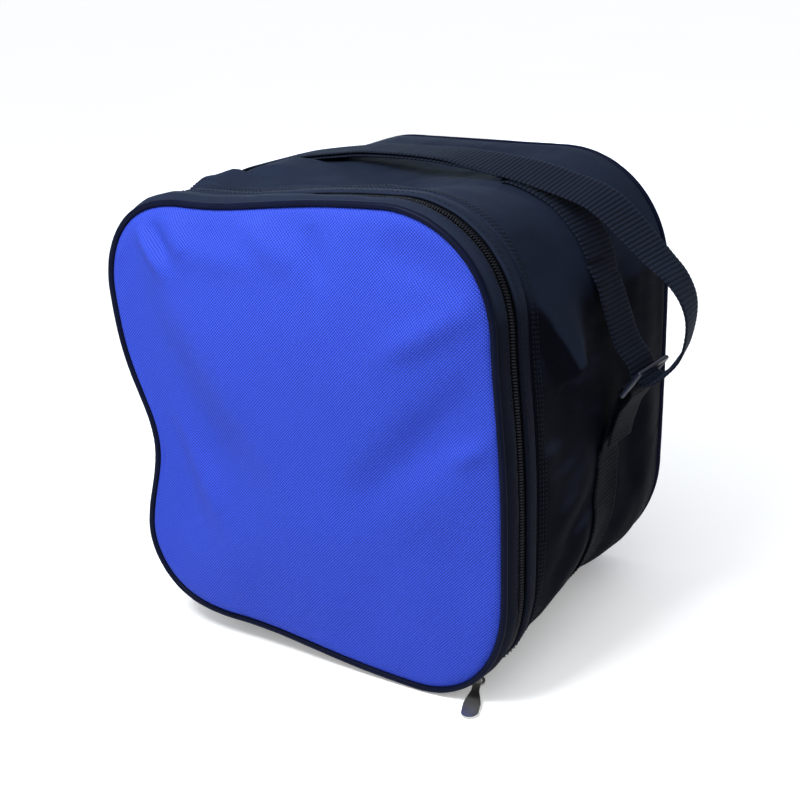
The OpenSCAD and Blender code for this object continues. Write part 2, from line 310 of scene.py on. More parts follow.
def new_object(name, verts, faces, uvs):
    """A smooth-shaded object; uvs has one pair for each corner of each face."""
    mesh = bpy.data.meshes.new(name)
    if isinstance(faces, np.ndarray):
        faces = faces.tolist()
    mesh.from_pydata(np.asarray(verts, float).tolist(), [], faces)
    layer = mesh.uv_layers.new(name="UVMap")
    layer.data.foreach_set("uv", np.asarray(uvs, np.float32).ravel())
    mesh.update()
    mesh.validate()
    mesh.polygons.foreach_set("use_smooth", np.ones(len(mesh.polygons), bool))
    return linked(name, mesh)


def quads(nu, nv, wrap_u, wrap_v, offset=0):
    """Corner indices of a grid's faces, and each corner's place in the grid."""
    iu = np.arange(nu if wrap_u else nu - 1)
    iv = np.arange(nv if wrap_v else nv - 1)
    a, b = np.meshgrid(iu, iv, indexing="ij")
    corners = [(a, b), (a + 1, b), (a + 1, b + 1), (a, b + 1)]
    idx = [offset + np.mod(i, nu) * nv + np.mod(j, nv) for i, j in corners]
    faces = np.stack(idx, -1).reshape(-1, 4)
    where = np.stack([np.stack(c, -1) for c in corners], -2).reshape(-1, 4, 2)
    return faces, where


def tube_object(name, grid, uv, wrap_u=False):
    """A closed skin from cross sections: grid is (stations, ring, 3) in millimetres. uv
    is in metres and goes once more round the ring, and on to the first station again
    where the sections close a loop."""
    nu, nv = grid.shape[:2]
    faces, where = quads(nu, nv, wrap_u, True)
    faces = faces.tolist()
    loops = [uv[where[..., 0], where[..., 1]].reshape(-1, 2)]
    if not wrap_u:
        faces.append(list(range(nv - 1, -1, -1)))
        faces.append([(nu - 1) * nv + j for j in range(nv)])
        loops += [uv[0, nv - 1::-1][:nv], uv[nu - 1, :nv]]
    return new_object(name, place(grid.reshape(-1, 3)), faces, np.concatenate(loops))


def slab_object(name, outer, inner, uv, wrap_u=False):
    """A closed skin from an outer and an inner grid of points, joined round the rim."""
    nu, nv = outer.shape[:2]
    a, where = quads(nu, nv, wrap_u, False)
    b = a[:, ::-1] + nu * nv
    n = nu * nv
    rows = np.arange(nu if wrap_u else nu - 1)
    nxt = np.mod(rows + 1, nu)
    rims = [np.stack([rows * nv, rows * nv + n, nxt * nv + n, nxt * nv], -1),
            np.stack([rows * nv + nv - 1, nxt * nv + nv - 1, nxt * nv + nv - 1 + n,
                      rows * nv + nv - 1 + n], -1)]
    rim_uv = [uv[np.stack([rows, rows, rows + 1, rows + 1], -1), 0],
              uv[np.stack([rows, rows + 1, rows + 1, rows], -1), nv - 1]]
    if not wrap_u:
        c = np.arange(nv - 1)
        rims += [np.stack([c, c + 1, c + 1 + n, c + n], -1),
                 np.stack([(nu - 1) * nv + c, (nu - 1) * nv + c + n,
                           (nu - 1) * nv + c + 1 + n, (nu - 1) * nv + c + 1], -1)]
        rim_uv += [uv[0, np.stack([c, c + 1, c + 1, c], -1)],
                   uv[nu - 1, np.stack([c, c, c + 1, c + 1], -1)]]
    uva = uv[where[..., 0], where[..., 1]]
    faces = np.concatenate([a, b] + rims)
    loops = np.concatenate([uva, uva[:, ::-1]] + rim_uv).reshape(-1, 2)
    verts = np.concatenate([outer.reshape(-1, 3), inner.reshape(-1, 3)])
    return new_object(name, place(verts), faces, loops)


def fix_normals(obj):
    """Turns every face of a closed skin outwards."""
    bm = bmesh.new()
    bm.from_mesh(obj.data)
    bmesh.ops.recalc_face_normals(bm, faces=bm.faces)
    bm.to_mesh(obj.data)
    bm.free()


def finish_piece(obj, material, body, replaces=()):
    """Gives a piece its material, turns its faces outwards, puts it on its body and hides the nodes it
    replaces. A piece without a body is not attached to one."""
    obj.data.materials.append(material)
    fix_normals(obj)
    if body:
        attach(obj, body)
    if replaces:
        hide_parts(*replaces)
    return obj


def strip_piece(name, u, profile, material, body, replaces, wrap_u=False):
    """A band swept round the outline. profile is a closed ring of (y, inset) pairs, or
    a function of u that gives one for each station."""
    rings = profile(u) if callable(profile) else np.broadcast_to(
        np.asarray(profile, float), (len(u),) + np.shape(profile))
    y, inset = rings[..., 0], rings[..., 1]
    p, n = outline(u[:, None], y, inset)
    s = arc_length(u) / 1000
    s = np.append(s, s[-1] + (s[1] - s[0] if wrap_u else 0))
    ring = np.concatenate([rings, rings[:, :1]], 1)
    girth = np.concatenate([np.zeros((len(u), 1)),
                            np.cumsum(np.hypot(*np.moveaxis(np.diff(ring, axis=1), 2, 0)), 1)], 1)
    girth = np.concatenate([girth, girth[-1:]])[:len(s)] / 1000
    uv = np.stack([np.broadcast_to(s[:, None], girth.shape), girth], -1)
    obj = tube_object(name, p, uv, wrap_u)
    return finish_piece(obj, material, body, replaces)


def bead_template(n=8, m=5, power=2.6):
    """A rounded block about 1 in every half size, as points and faces."""
    pts, faces = [[0, 0, 1]], []
    for i in range(1, m):
        a = math.pi * i / m
        for j in range(n):
            b = 2 * math.pi * j / n
            v = np.array([math.sin(a) * math.cos(b), math.sin(a) * math.sin(b), math.cos(a)])
            v = v / (np.abs(v) ** power).sum() ** (1 / power)
            pts.append(v.tolist())
    pts.append([0, 0, -1])
    last = len(pts) - 1
    for j in range(n):
        faces.append([0, 1 + j, 1 + (j + 1) % n])
        faces.append([last, last - n + (j + 1) % n, last - n + j])
    for i in range(m - 2):
        for j in range(n):
            a, b = 1 + i * n + j, 1 + i * n + (j + 1) % n
            faces.append([a, a + n, b + n, b])
    return np.array(pts), faces


BEAD_P, BEAD_F = bead_template()


def beads_object(name, centres, axes, sizes):
    """Many rounded blocks as one mesh. axes is (n, 3, 3): rows are the block's own
    directions; sizes is (n, 3) half sizes, all in millimetres."""
    pts = centres[:, None] + np.einsum("pk,nk,nkd->npd", BEAD_P, sizes, axes)
    k = len(BEAD_P)
    faces = [[i * k + v for v in f] for i in range(len(centres)) for f in BEAD_F]
    base = np.array([BEAD_P[:, 0], BEAD_P[:, 1]]).T * 0.001
    uvs = np.concatenate([base[f] for f in BEAD_F])
    uvs = np.tile(uvs, (len(centres), 1))
    return new_object(name, place(pts.reshape(-1, 3)), faces, uvs)


def stitch_row(points, normals, length=2.6, gap=1.1, radius=0.3):
    """Centres, directions and sizes of running stitches along a path."""
    s = running(np.linalg.norm(np.diff(points, axis=0), axis=1))
    n = int(s[-1] // (length + gap))
    mids = (np.arange(n) + 0.5) * (length + gap)
    c = rows_at(mids, s, points)
    d = unit(rows_at(mids + 0.6, s, points) - rows_at(mids - 0.6, s, points))
    nn = rows_at(mids, s, normals)
    nn = unit(nn - (nn * d).sum(1, keepdims=True) * d)
    axes = np.stack([d, np.cross(nn, d), nn], 1)
    sizes = np.tile([length / 2, radius, radius], (n, 1))
    return c + nn * radius * 0.35, axes, sizes


def join_rows(rows):
    """Several results of stitch_row as one."""
    return [np.concatenate(parts) for parts in zip(*rows)]


# ---------- materials ----------


class Nodes:
    """A few short calls for building a node material."""

    def __init__(self, name):
        self.material = bpy.data.materials.new(name)
        self.material.use_nodes = True
        self.tree = self.material.node_tree
        self.shader = self.tree.nodes["Principled BSDF"]

    def feed(self, socket, value):
        """Links an output to a socket, or sets a plain number or colour on it."""
        if isinstance(value, bpy.types.NodeSocket):
            self.tree.links.new(value, socket)
        else:
            socket.default_value = (*value, 1) if isinstance(value, tuple) else value

    def math(self, op, a, b=0.0):
        n = self.tree.nodes.new("ShaderNodeMath")
        n.operation = op
        self.feed(n.inputs[0], a)
        self.feed(n.inputs[1], b)
        return n.outputs[0]

    def mix(self, factor, a, b):
        n = self.tree.nodes.new("ShaderNodeMix")
        n.data_type = "RGBA"
        self.feed(n.inputs[0], factor)
        self.feed(n.inputs[6], a)
        self.feed(n.inputs[7], b)
        return n.outputs[2]

    def scaled(self, colour, gain):
        n = self.tree.nodes.new("ShaderNodeVectorMath")
        n.operation = "SCALE"
        self.feed(n.inputs[0], colour)
        self.feed(n.inputs["Scale"], gain)
        return n.outputs[0]

    def uv(self):
        n = self.tree.nodes.new("ShaderNodeUVMap")
        n.uv_map = "UVMap"
        s = self.tree.nodes.new("ShaderNodeSeparateXYZ")
        self.tree.links.new(n.outputs[0], s.inputs[0])
        return s.outputs[0], s.outputs[1]

    def noise(self, scale, detail=3.0, rough=0.5):
        n = self.tree.nodes.new("ShaderNodeTexNoise")
        n.inputs["Scale"].default_value = scale
        n.inputs["Detail"].default_value = detail
        n.inputs["Roughness"].default_value = rough
        coords = self.tree.nodes.new("ShaderNodeTexCoord").outputs["Object"]
        self.tree.links.new(coords, n.inputs["Vector"])
        return n.outputs["Fac"]

    def upward(self):
        """0 on walls and undersides, 1 on faces that look up: the mask for painted top light."""
        n = self.tree.nodes.new("ShaderNodeNewGeometry")
        s = self.tree.nodes.new("ShaderNodeSeparateXYZ")
        self.tree.links.new(n.outputs["Normal"], s.inputs[0])
        r = self.tree.nodes.new("ShaderNodeMapRange")
        r.interpolation_type = "SMOOTHSTEP"
        r.inputs["From Min"].default_value = 0.02
        r.inputs["From Max"].default_value = 0.30
        self.tree.links.new(s.outputs[2], r.inputs["Value"])
        return r.outputs[0]

    def bumped(self, height, strength, distance, after=None):
        n = self.tree.nodes.new("ShaderNodeBump")
        n.inputs["Strength"].default_value = strength
        n.inputs["Distance"].default_value = distance
        self.tree.links.new(height, n.inputs["Height"])
        if after is not None:
            self.tree.links.new(after, n.inputs["Normal"])
        return n.outputs[0]

    def set(self, **values):
        for key, value in values.items():
            self.feed(self.shader.inputs[key.replace("_", " ")], value)


def spread(m, value, low, high):
    """Moves a 0-1 value into the range low to high."""
    return m.math("ADD", m.math("MULTIPLY", value, high - low), low)


def wave(m, coord, period):
    return m.math("SINE", m.math("MULTIPLY", coord, 2 * math.pi / period))


def cloth_material(name, dark, light, period=0.0019, relief=0.00016, rough=(0.55, 0.7),
                   sheen=0.15, sheen_tint=(0.5, 0.55, 0.7), specular=0.25, blotch=0.12, fuzz=0.00005,
                   top_light_colours=None):
    """Woven cloth: a basket of over and under threads, thread grain and soft blotches, and painted top
    light, lighter and bluish, on faces that look up when those colours are given.
    """
    m = Nodes(name)
    u, v = m.uv()
    over = m.math("MULTIPLY", wave(m, u, period), wave(m, v, period))
    over01 = m.math("ADD", m.math("MULTIPLY", over, 0.5), 0.5)
    thread_u = m.math("ABSOLUTE", wave(m, u, period))
    thread_v = m.math("ABSOLUTE", wave(m, v, period))
    threads = m.math("MULTIPLY", thread_u, thread_v)
    grain = m.noise(2600, 2, 0.6)
    patches = m.noise(14, 4, 0.55)
    soft = m.noise(90, 3, 0.5)
    share = m.math("MULTIPLY", over01, 0.9)
    colour = m.mix(share, dark, light)
    # painted light: faces that look up are mixed towards lighter, bluish colours that stand in for light
    # from above
    if top_light_colours:
        colour = m.mix(m.upward(), colour, m.mix(share, *top_light_colours))
    shade = spread(m, patches, 1 - blotch, 1 + blotch)
    shade = m.math("MULTIPLY", shade, spread(m, grain, 0.9, 1.1))
    height = m.math("ADD", m.math("MULTIPLY", over, 0.5), m.math("MULTIPLY", threads, 0.7))
    normal = m.bumped(height, 0.55, relief)
    normal = m.bumped(grain, 0.4, fuzz, normal)
    normal = m.bumped(soft, 0.25, 0.0006, normal)
    m.set(Base_Color=m.scaled(colour, shade), Roughness=spread(m, patches, *rough), Normal=normal,
          Sheen_Weight=sheen, Sheen_Roughness=0.4, Sheen_Tint=sheen_tint,
          Specular_IOR_Level=specular)
    return m.material


def plastic_material(name, dark, light, rough=(0.3, 0.45), specular=0.5, grain_scale=900, relief=0.00005,
                     metallic=0.0):
    """Moulded, coated or metal surface with fine grain and handling marks."""
    m = Nodes(name)
    fine = m.noise(grain_scale, 3, 0.6)
    marks = m.noise(60, 4, 0.6)
    colour = m.mix(marks, dark, light)
    normal = m.bumped(fine, 0.3, relief)
    m.set(Base_Color=colour, Roughness=spread(m, marks, *rough), Normal=normal,
          Specular_IOR_Level=specular, Metallic=metallic)
    return m.material


def webbing_material(name, dark, light, sheen):
    """Ribbed webbing: cross ribs with slanted threads, and painted light that makes faces that look up
    lighter and walls and undersides darker.
    """
    m = Nodes(name)
    u, v = m.uv()
    ribs = m.math("ABSOLUTE", wave(m, u, 2 * RIB / 1000))
    slant = m.math("ADD", u, m.math("MULTIPLY", m.math("ABSOLUTE", wave(m, v, 0.0032)), 0.0006))
    threads = m.math("ABSOLUTE", wave(m, slant, 0.0011))
    warp = m.math("ABSOLUTE", wave(m, v, 0.0014))
    grain = m.noise(2200, 2, 0.6)
    patches = m.noise(25, 3, 0.5)
    colour = m.mix(m.math("MULTIPLY", ribs, warp), dark, light)
    # painted light and shade: faces that look up are lighter, walls and undersides darker, times soft
    # random patches
    top_light_and_patches = m.math("MULTIPLY", spread(m, m.upward(), 0.42, 1.15), spread(m, patches, 0.85, 1.15))
    normal = m.bumped(ribs, 0.5, 0.0003)
    normal = m.bumped(m.math("MULTIPLY", threads, warp), 0.4, 0.0002, normal)
    normal = m.bumped(grain, 0.35, 0.00006, normal)
    m.set(Base_Color=m.scaled(colour, top_light_and_patches), Roughness=spread(m, grain, 0.55, 0.7), Normal=normal,
          Sheen_Weight=sheen, Sheen_Roughness=0.35, Sheen_Tint=(0.35, 0.55, 1.0), Specular_IOR_Level=0.02)
    return m.material


# painted top light: lighter, bluish colours for the faces of the black cloth that look up
PAINTED_TOP_LIGHT = ((0.0066, 0.0092, 0.0174), (0.0132, 0.0184, 0.0350))
BLUE = cloth_material("blue_weave", (0.0072, 0.0155, 0.130), (0.0378, 0.073, 0.535), rough=(0.6, 0.7),
                      sheen=0.02, sheen_tint=(0.35, 0.45, 1.0), specular=0.03, blotch=0.08, relief=0.00045)
BODY = cloth_material("black_nylon", (0.0014, 0.0016, 0.0030), (0.0036, 0.0042, 0.0076), period=0.0011,
                      relief=0.00012, rough=(0.50, 0.60), sheen=0.008, sheen_tint=(0.35, 0.55, 1.0),
                      specular=0.006, blotch=0.25, top_light_colours=PAINTED_TOP_LIGHT)
HEM = cloth_material("black_hem", (0.0028, 0.0036, 0.0068), (0.0068, 0.0086, 0.0165), period=0.0013,
                     relief=0.00015, rough=(0.50, 0.60), sheen=0.008, sheen_tint=(0.35, 0.55, 1.0),
                     specular=0.012, blotch=0.2, top_light_colours=PAINTED_TOP_LIGHT)
TAPE = cloth_material("zip_tape_weave", (0.0016, 0.0018, 0.0025), (0.0035, 0.004, 0.0055), period=0.0009,
                      relief=0.00018, rough=(0.65, 0.8), sheen=0.02, specular=0.02)
LINING = cloth_material("lining_cloth", (0.004, 0.0045, 0.006), (0.009, 0.010, 0.013), period=0.0008,
                        relief=0.00006, rough=(0.45, 0.6), sheen=0.03, specular=0.06)
PIPE = plastic_material("piping_cover", (0.0018, 0.0026, 0.0085), (0.0036, 0.0052, 0.0170),
                        rough=(0.36, 0.48), specular=0.025, grain_scale=1400, relief=0.00008)
COIL = plastic_material("coil_nylon", (0.003, 0.0038, 0.0060), (0.0066, 0.0080, 0.0125),
                        rough=(0.28, 0.40), specular=0.14)
THREAD = plastic_material("black_thread", (0.0048, 0.0060, 0.0105), (0.0095, 0.0120, 0.0205),
                          rough=(0.5, 0.6), specular=0.06, grain_scale=3500, relief=0.0001)
NICKEL = plastic_material("nickel", (0.26, 0.255, 0.24), (0.52, 0.51, 0.49), rough=(0.30, 0.45),
                          metallic=1.0, grain_scale=500, relief=0.00003)
RING = plastic_material("ring_paint", (0.005, 0.0065, 0.014), (0.010, 0.013, 0.026), rough=(0.26, 0.36),
                        specular=0.3, grain_scale=700)
SLIDE = plastic_material("slide_plastic", (0.005, 0.005, 0.007), (0.010, 0.010, 0.013), rough=(0.35, 0.5),
                         specular=0.35, grain_scale=1200, relief=0.0001)
FOAM = plastic_material("foam", (0.05, 0.05, 0.052), (0.09, 0.09, 0.093), rough=(0.85, 0.95),
                        specular=0.15, grain_scale=1500, relief=0.0006)
BOARD = plastic_material("board", (0.012, 0.012, 0.013), (0.022, 0.021, 0.021), rough=(0.6, 0.75),
                         specular=0.3, grain_scale=450, relief=0.00025)
WEBBING = webbing_material("webbing", (0.0014, 0.0018, 0.0030), (0.0120, 0.0155, 0.0280), 0.04)
SIDE_WEBBING = webbing_material("side_webbing", (0.0028, 0.0032, 0.0046), (0.0095, 0.0110, 0.0165), 0.01)

# ---------- camera ----------

CAM_AT = Vector((0.51579, Y_FRONT - 0.64616, 0.44834))
YAW, PITCH, ROLL = 0.568, 0.352, -0.035
ahead = Vector((-math.sin(YAW) * math.cos(PITCH), math.cos(YAW) * math.cos(PITCH), -math.sin(PITCH)))
level = Vector((math.cos(YAW), math.sin(YAW), 0))
over = level.cross(ahead)
right = level * math.cos(ROLL) + over * math.sin(ROLL)
top = -level * math.sin(ROLL) + over * math.cos(ROLL)
camera_data = bpy.data.cameras.new("camera")
camera_data.sensor_width = 36
camera_data.lens = 67.3
camera_data.shift_x = -0.0621
camera_data.shift_y = 0.0447
camera_data.clip_start = 0.01
camera = linked("camera", camera_data)
camera.matrix_world = Matrix((
    (right.x, top.x, -ahead.x, CAM_AT.x),
    (right.y, top.y, -ahead.y, CAM_AT.y),
    (right.z, top.z, -ahead.z, CAM_AT.z),
    (0, 0, 0, 1)))
bpy.context.scene.camera = camera

# ---------- blue front ----------


def panel_object(name, y, inset, thickness, rings, step, shape, material, body, replaces, sign):
    """A filled cloth panel; shape(x, z, t) gives how far it stands out along sign * y."""
    # loops of points from the edge, where t is 1, to near the middle, where it is 0
    edge, _ = outline(even_u(0, 9, step)[:-1], y, inset)
    centre = np.array([0.0, y, HEIGHT / 2])
    t = (1 - np.linspace(0, 1, rings) ** 1.15)[:-1]
    pts = centre + (edge - centre) * t[:, None, None]
    n, m = len(t), len(edge)
    x, z = pts[..., 0], pts[..., 2]
    out = shape(x, z, np.broadcast_to(t[:, None], x.shape))
    mid_out = shape(np.array([0.0]), np.array([HEIGHT / 2]), np.array([0.0]))[0]
    front, back, hubs = pts.copy(), pts.copy(), np.array([centre, centre])
    front[..., 1] = y + sign * out
    back[..., 1] = y + sign * (out - thickness)
    hubs[:, 1] = y + sign * mid_out, y + sign * (mid_out - thickness)
    verts = np.concatenate([front.reshape(-1, 3), back.reshape(-1, 3), hubs])
    faces, _ = quads(n, m, False, True)
    total = n * m
    all_faces = faces.tolist() + (faces[:, ::-1] + total).tolist()
    j = np.arange(m)
    k = np.mod(j + 1, m)
    last = total - m
    all_faces += np.stack([last + j, np.full(m, 2 * total), last + k], -1).tolist()
    all_faces += np.stack([last + k + total, np.full(m, 2 * total + 1), last + j + total], -1).tolist()
    all_faces += np.stack([j, k, k + total, j + total], -1).tolist()
    uv = verts[:, [0, 2]] / 1000
    loops = np.concatenate([uv[f] for f in all_faces])
    obj = new_object(name, place(verts), all_faces, loops)
    return finish_piece(obj, material, body, replaces)


def at_rim(t):
    """How far a panel dips into its seam, and how its folds fade out, near its rim."""
    return -1.0 * bump(t, 1, 0.012), np.clip((1 - t) / 0.06, 0, 1)


FRONT_FOLDS = [  # height, start (x, z), end (x, z), width
    (3.6, (-113, 266), (-86, 236), 6), (-3.8, (-101, 268), (-84, 248), 5),
    (3.4, (-84, 275), (-70, 252), 7), (2.4, (-92, 256), (-12, 250), 11),
    (4.0, (-30, 276), (8, 252), 10), (-3.4, (17, 276), (26, 246), 6),
    (-5.4, (64, 270), (118, 256), 11), (3.6, (124, 242), (66, 208), 9),
    (-7.0, (128, 196), (44, 118), 15), (3.0, (130, 165), (106, 152), 6),
    (2.0, (-84, 226), (-8, 130), 26), (6.0, (-102, 160), (-62, 88), 10),
    (-4.6, (-112, 122), (-84, 78), 10), (-1.6, (20, 12), (60, 70), 18),
    (-2.0, (126, 70), (84, 110), 18),
]


def front_shape(x, z, t):
    """The blue face: domed by the ball behind it, with soft creases."""
    dome = 13.0 * (1 - t ** 3.0) ** 0.95
    lip, fade = at_rim(t)
    # the cloth sinks towards the drawn-in left side
    sunk = -8.5 * step(x, z, (-118, 244), (-32, 122), 44) * fall(t, 0.9, 0.995)
    folds = creases(x, z, FRONT_FOLDS) + sunk
    waves = 1.2 * noise2(x / 46 + 3, z / 60 + 8) + 0.5 * noise2(x / 19 + 1, z / 23 + 4)
    out = dome + lip + fade * (folds + waves * (0.4 + 0.6 * t))
    # the cloth never sinks into the padding behind it, and nears it softly
    least = 1.5 * (1 - t ** 3) + 0.3 + lip
    soft = 1.6
    return least + soft * np.logaddexp(0, (out - least) / soft) * fade + (1 - fade) * (out - least)


panel_object("front_cover", 1.4, PIPING - 0.4, 1.2, 74, 2.4, front_shape, BLUE, LID,
             ["front_panel"], -1)


def pad_shape(x, z, t):
    """The padding: slightly domed."""
    return 1.2 * (1 - t ** 3)


pad = panel_object("cover_padding", 3.0, PIPING + 1.2, 1.4, 20, 6.0, pad_shape, FOAM, LID,
                   ["lid_padding"], -1)
panel_object("cover_lining", 4.6, PIPING + 0.8, 0.5, 30, 5.0,
             lambda x, z, t: 0.5 * noise2(x / 30, z / 26) * (1 - t) - 0.2, LINING, LID,
             ["lid_lining"], -1)

# ---------- piping ----------


def piping_profile(y, radius, dent=0.0):
    """Round piping; the dent is where the zip pull presses on it."""
    a = full_turn(16)

    def ring(u):
        r = radius * (0.98 + 0.02 * noise2(arc_length(u) / 9 + 5, 0 * u + 2)
                      + 0.02 * noise2(arc_length(u) / 2.6, 0 * u + 9)
                      - dent * bump(u, u_at("br", 32), 0.14))
        return np.stack([y + r[:, None] * np.cos(a), PIPING / 2 + r[:, None] * np.sin(a)], -1)

    return ring


u_ring = even_u(0, 9, 2.0)[:-1]
strip_piece("piping_front", u_ring, piping_profile(PIPING / 2, PIPING / 2, 0.16), PIPE, LID,
            ["front_piping"], wrap_u=True)
strip_piece("piping_back", u_ring, piping_profile(DEPTH - PIPING / 2, PIPING / 2), PIPE, BAG,
            ["back_piping"], wrap_u=True)

# ---------- bands beside the zip ----------

U_LID = (u_at("br", 90 - 52), u_at("bl", 52))
U_BODY = (u_at("br", 90 - 78), u_at("bl", 78))


def band_reach(u):
    """How far the front band reaches back over the zip: further on the top left."""
    s = arc_length(u)
    start = arc_length(np.array([4.25]))[0]
    end = arc_length(np.array([7.0]))[0]
    return ease((s - start) / 60) * (1 - ease((s - end) / 60))


def profile_of(knots, s):
    """Closed rings of (y, inset) at each s; a knot's numbers may change along s."""
    return np.stack([np.stack([y + 0 * s, i + 0 * s], -1) for y, i in knots], 1)


def lid_band_profile(u):
    """The black band behind the front piping, which laps over the zip."""
    s = arc_length(u)
    r = band_reach(u)
    wav = 0.35 * noise2(s / 22, 0 * s + 3) + 0.2 * noise2(s / 7, 0 * s + 6)
    end = 14.6 + 4.6 * r
    lift = 1.1 + 1.3 * r + wav
    knots = [(3.0, 1.7), (4.4, 0.9), (6.4, 0.3 - lift * 0.5), (9.0, 0.2 - lift),
             (end - 2.4, 0.35 - lift), (end - 0.7, 0.6 - lift * 0.9), (end, 1.15 - lift * 0.75),
             (end - 0.3, 1.75 - lift * 0.7), (end - 1.6, 2.0 - lift * 0.7), (9.0, 1.9 - lift * 0.8),
             (6.0, 2.0 - lift * 0.3), (3.2, 2.6)]
    return profile_of(knots, s)


strip_piece("front_edge_band", even_u(*U_LID, 2.0), lid_band_profile, HEM, LID,
            ["front_band"])


def body_band_profile(u):
    """The stitched band on the body's side of the zip."""
    s = arc_length(u)
    wav = 0.3 * noise2(s / 26, 0 * s + 13) + 0.15 * noise2(s / 8, 0 * s + 16)
    lift = 1.2 + wav
    knots = [(24.2, 1.3 - lift * 0.6), (24.9, 0.55 - lift * 0.9), (26.6, 0.3 - lift),
             (30.0, 0.15 - lift), (33.4, 0.3 - lift * 0.9), (36.0, 0.6 - lift * 0.4), (37.6, 1.5),
             (38.4, 2.6), (36.5, 3.0), (33.0, 2.2 - lift * 0.4), (27.0, 1.9 - lift * 0.6),
             (24.8, 1.9 - lift * 0.6)]
    return profile_of(knots, s)


strip_piece("body_edge_band", even_u(*U_BODY, 2.0), body_band_profile, HEM, BAG,
            ["body_band"])


def flat_profile(y0, y1, a, b):
    """A flat tape from depth y0 to y1, between the insets a and b."""
    m = (y0 + y1) / 2
    return [(y0, a), (m, a - 0.05), (y1, a), (y1, b), (m, b), (y0, b)]


strip_piece("lid_zip_tape", even_u(*U_LID, 3.0), flat_profile(12.5, 19.4, 2.05, 2.65), TAPE, LID,
            ["zip_tape_lid"])
strip_piece("body_zip_tape", even_u(u_at("br", 13), u_at("bl", 77), 3.0),
            flat_profile(20.6, 27.5, 2.05, 2.65), TAPE, BAG, ["zip_tape_body"])
strip_piece("zip_end_tape", even_u(u_at("br", 13), u_at("br", 36.6), 2.0),
            flat_profile(12.5, 20.4, 2.05, 2.7), TAPE, BAG, ["zip_end_tapes"])

# ---------- zip coil ----------

COIL_PITCH = 1.75
COIL_END = u_at("bl", 47.5)
SLIDER_SPAN = (u_at("br", 20), u_at("br", 40))


def coil_row(name, u0, y_mid, phase, body, node):
    """One row of teeth; every second half pitch belongs to the other row."""
    u = even_u(u0, COIL_END, COIL_PITCH / 2)[phase::2]
    p, n = outline(u, y_mid, 1.15)
    t = unit(outline(u + 0.01, y_mid, 1.15)[0] - outline(u - 0.01, y_mid, 1.15)[0])
    across = np.tile([0.0, 1.0, 0.0], (len(u), 1))
    # the body's teeth are shorter inside the slider
    near = (body == BAG) & (u > SLIDER_SPAN[0]) & (u < SLIDER_SPAN[1])
    p = p + across * np.where(near, 0.9, 0.0)[:, None]
    half = np.where(near, 0.9, 1.5)
    sizes = np.stack([np.full(len(u), 0.56), half, np.full(len(u), 0.74)], 1)
    obj = beads_object(name, p, np.stack([t, across, n], 1), sizes)
    return finish_piece(obj, COIL, body, [node])


coil_row("lid_zip_coil", u_at("br", 90 - 51.5), 18.95, 0, LID, "zip_coil_lid")
coil_row("body_zip_coil", u_at("br", 90 - 73.5), 21.05, 1, BAG, "zip_coil_body")

# ---------- top stops, one at the upper end of each row ----------


def stop_piece(name, y, body, node):
    """A metal stop: a wide block with a short raised one on it."""
    u = np.full(2, u_at("bl", 49.7))
    p, n = outline(u, y, np.array([1.2, 0.9]))
    t = unit(outline(u + 0.01, y, 1.2)[0] - outline(u, y, 1.2)[0])
    axes = np.stack([t, np.tile([0.0, 1.0, 0.0], (2, 1)), n], 1)
    sizes = np.array([[1.35, 1.15, 1.1], [0.55, 1.2, 1.1]])
    return finish_piece(beads_object(name, p, axes, sizes), NICKEL, body, [node])


stop_piece("lid_top_stop", 18.35, LID, "zip_stop_lid")
stop_piece("body_top_stop", 21.65, BAG, "zip_stop_body")

# ---------- stitching ----------


def band_stitches(name, span, y, inset, body):
    """One row of stitches along a band."""
    points, normals = outline(even_u(span[0] + 0.01, span[1] - 0.01, 1.0), y, inset)
    row = stitch_row(points, normals, 2.4, 1.0, 0.25)
    finish_piece(beads_object(name, *row), THREAD, body)


band_stitches("front_band_stitches", U_LID, 12.4, -0.65, LID)
band_stitches("body_band_stitches", U_BODY, 27.0, -1.0, BAG)

# ---------- body ----------


def side_s(z):
    """Distance along the outline of a point at height z on the right side."""
    return (HALF_W - FRONT_R) + FRONT_R * math.pi / 2 + (z - FRONT_R)


def top_s(x):
    """Distance along the outline of a point on the top."""
    return side_s(HEIGHT - FRONT_R) + FRONT_R * math.pi / 2 + (HALF_W - FRONT_R - x)


def side_of(p, q, a, b):
    """Signed distance of (p, q) from the line a to b."""
    a, b = np.array(a, float), np.array(b, float)
    d = (b - a) / np.hypot(*(b - a))
    return (p - a[0]) * d[1] - (q - a[1]) * d[0]


def shelf(s, y):
    """The slanted fold below the upper right corner: it swells downwards to a point."""
    high = s - side_s(0)
    swell = 13.5 * np.clip((246 - high) / 60, 0, 1.15) ** 1.2
    left = side_of(high, y, (292, 20), (180, 72))
    under = side_of(high, y, (180, 72), (200, 122))
    return swell * ease((left + 10) / 13) * ease((under + 5) / 10) * fall(y, 78, 108)


SIDE_FOLDS = [  # on the sides: height, start (z, y), end (z, y), width
    (-1.8, (165, 60), (120, 75), 14), (1.8, (80, 48), (105, 112), 12),
    (-1.8, (52, 55), (85, 112), 10), (1.5, (28, 60), (60, 110), 10),
    (-2.0, (150, 158), (60, 172), 14), (1.6, (190, 175), (110, 190), 16),
    (-2.4, (262, 165), (200, 158), 12),
]
TOP_FOLDS = [  # on the top: height, start (x, y), end (x, y), width
    (2.2, (-70, 47), (-14, 62), 4), (-2.2, (-60, 56), (0, 72), 6),
    (-2.2, (60, 60), (20, 104), 14), (1.6, (-70, 60), (-40, 104), 12),
    (-2.0, (40, 165), (-50, 185), 16),
]


def placed(rows, s_of):
    """A table of folds with its first coordinates turned into distances along the outline."""
    return [(high, (s_of(a[0]), a[1]), (s_of(b[0]), b[1]), width) for high, a, b, width in rows]


BODY_FOLDS = placed(SIDE_FOLDS, side_s) + placed(TOP_FOLDS, top_s)


